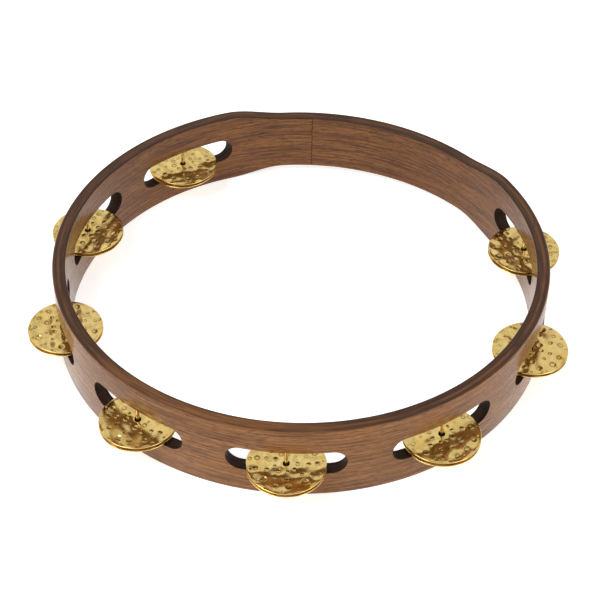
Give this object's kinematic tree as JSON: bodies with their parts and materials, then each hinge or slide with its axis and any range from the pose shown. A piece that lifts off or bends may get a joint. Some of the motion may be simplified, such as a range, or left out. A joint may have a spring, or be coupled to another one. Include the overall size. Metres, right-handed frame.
{
  "type": "tambourine",
  "caption": "Round wooden headless tambourine: a slotted hoop with a dipped hand grip and pairs of domed brass jingles loose on nails.",
  "frame": {"origin": "the middle of the hoop, halfway between its two edges", "axes": "+Z along the hoop's axis, up when it lies on a table; +Y through the middle of the hand grip; +X to the right of the grip seen from above"},
  "size_m": [0.2854, 0.2636, 0.0426],
  "materials": {
    "walnut_stain": "bent wood, walnut stained, satin lacquer",
    "hammered_brass": "polished sheet brass, hammered all over",
    "nail_steel": "plain drawn wire nail"
  },
  "bodies": {
    "hoop": {"hoop": "walnut_stain", "nail_1": "nail_steel", "nail_2": "nail_steel", "nail_3": "nail_steel", "nail_4": "nail_steel", "nail_5": "nail_steel", "nail_6": "nail_steel", "nail_7": "nail_steel", "nail_8": "nail_steel"},
    "jingle_lower_1": {"jingle_lower_1": "hammered_brass"},
    "jingle_upper_1": {"jingle_upper_1": "hammered_brass"},
    "jingle_lower_2": {"jingle_lower_2": "hammered_brass"},
    "jingle_upper_2": {"jingle_upper_2": "hammered_brass"},
    "jingle_lower_3": {"jingle_lower_3": "hammered_brass"},
    "jingle_upper_3": {"jingle_upper_3": "hammered_brass"},
    "jingle_lower_4": {"jingle_lower_4": "hammered_brass"},
    "jingle_upper_4": {"jingle_upper_4": "hammered_brass"},
    "jingle_lower_5": {"jingle_lower_5": "hammered_brass"},
    "jingle_upper_5": {"jingle_upper_5": "hammered_brass"},
    "jingle_lower_6": {"jingle_lower_6": "hammered_brass"},
    "jingle_upper_6": {"jingle_upper_6": "hammered_brass"},
    "jingle_lower_7": {"jingle_lower_7": "hammered_brass"},
    "jingle_upper_7": {"jingle_upper_7": "hammered_brass"},
    "jingle_lower_8": {"jingle_lower_8": "hammered_brass"},
    "jingle_upper_8": {"jingle_upper_8": "hammered_brass"}
  },
  "joints": [
    {"name": "lower_1_spin", "type": "hinge", "parent": "hoop", "child": "jingle_lower_1", "pos_m": [0.10007, 0.07271, -0.0055], "axis": [0, 0, 1], "continuous": true},
    {"name": "upper_1_slide", "type": "slide", "parent": "hoop", "child": "jingle_upper_1", "axis": [0, 0, 1], "range_m": [0, 0.0093]},
    {"name": "lower_2_spin", "type": "hinge", "parent": "hoop", "child": "jingle_lower_2", "pos_m": [0.1237, 0, -0.0055], "axis": [0, 0, 1], "continuous": true},
    {"name": "upper_2_slide", "type": "slide", "parent": "hoop", "child": "jingle_upper_2", "axis": [0, 0, 1], "range_m": [0, 0.0093]},
    {"name": "lower_3_spin", "type": "hinge", "parent": "hoop", "child": "jingle_lower_3", "pos_m": [0.10007, -0.07271, -0.0055], "axis": [0, 0, 1], "continuous": true},
    {"name": "upper_3_slide", "type": "slide", "parent": "hoop", "child": "jingle_upper_3", "axis": [0, 0, 1], "range_m": [0, 0.0093]},
    {"name": "lower_4_spin", "type": "hinge", "parent": "hoop", "child": "jingle_lower_4", "pos_m": [0.03823, -0.11765, -0.0055], "axis": [0, 0, 1], "continuous": true},
    {"name": "upper_4_slide", "type": "slide", "parent": "hoop", "child": "jingle_upper_4", "axis": [0, 0, 1], "range_m": [0, 0.0093]},
    {"name": "lower_5_spin", "type": "hinge", "parent": "hoop", "child": "jingle_lower_5", "pos_m": [-0.03823, -0.11765, -0.0055], "axis": [0, 0, 1], "continuous": true},
    {"name": "upper_5_slide", "type": "slide", "parent": "hoop", "child": "jingle_upper_5", "axis": [0, 0, 1], "range_m": [0, 0.0093]},
    {"name": "lower_6_spin", "type": "hinge", "parent": "hoop", "child": "jingle_lower_6", "pos_m": [-0.10007, -0.07271, -0.0055], "axis": [0, 0, 1], "continuous": true},
    {"name": "upper_6_slide", "type": "slide", "parent": "hoop", "child": "jingle_upper_6", "axis": [0, 0, 1], "range_m": [0, 0.0093]},
    {"name": "lower_7_spin", "type": "hinge", "parent": "hoop", "child": "jingle_lower_7", "pos_m": [-0.1237, 0, -0.0055], "axis": [0, 0, 1], "continuous": true},
    {"name": "upper_7_slide", "type": "slide", "parent": "hoop", "child": "jingle_upper_7", "axis": [0, 0, 1], "range_m": [0, 0.0093]},
    {"name": "lower_8_spin", "type": "hinge", "parent": "hoop", "child": "jingle_lower_8", "pos_m": [-0.10007, 0.07271, -0.0055], "axis": [0, 0, 1], "continuous": true},
    {"name": "upper_8_slide", "type": "slide", "parent": "hoop", "child": "jingle_upper_8", "axis": [0, 0, 1], "range_m": [0, 0.0093]}
  ]
}
